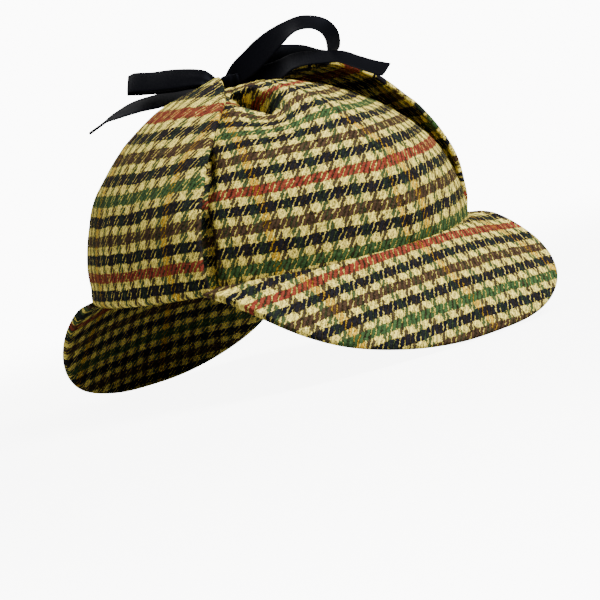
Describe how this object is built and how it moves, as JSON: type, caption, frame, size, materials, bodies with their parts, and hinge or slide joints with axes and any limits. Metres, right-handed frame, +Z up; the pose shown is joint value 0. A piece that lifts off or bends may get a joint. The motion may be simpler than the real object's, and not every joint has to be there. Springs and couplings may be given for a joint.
{
  "type": "deerstalker hat",
  "caption": "Cloth cap with a gored crown, a front and a rear peak, and two ear flaps folded up and tied over the top with a ribbon bow.",
  "frame": {"origin": "middle of the hat's footprint, on the surface that its two peaks rest on", "axes": "+Z up, -Y towards the front peak, +X towards the wearer's left"},
  "size_m": [0.1812, 0.2912, 0.1646],
  "materials": {
    "tweed": "matte woven wool",
    "peak_tweed": "matte woven wool, stiffened",
    "ribbon_satin": "soft satin"
  },
  "bodies": {
    "root": {"crown_gore_front_left": "tweed", "crown_gore_side_left": "tweed", "crown_gore_back_left": "tweed", "crown_gore_back_right": "tweed", "crown_gore_side_right": "tweed", "crown_gore_front_right": "tweed", "front_peak": "peak_tweed", "rear_peak": "peak_tweed", "ear_flap_right": "tweed", "ear_flap_left": "tweed", "ribbon_knot": "ribbon_satin", "ribbon_loop_front": "ribbon_satin", "ribbon_loop_rear": "ribbon_satin", "ribbon_tail_front": "ribbon_satin", "ribbon_tail_rear": "ribbon_satin"}
  },
  "joints": []
}
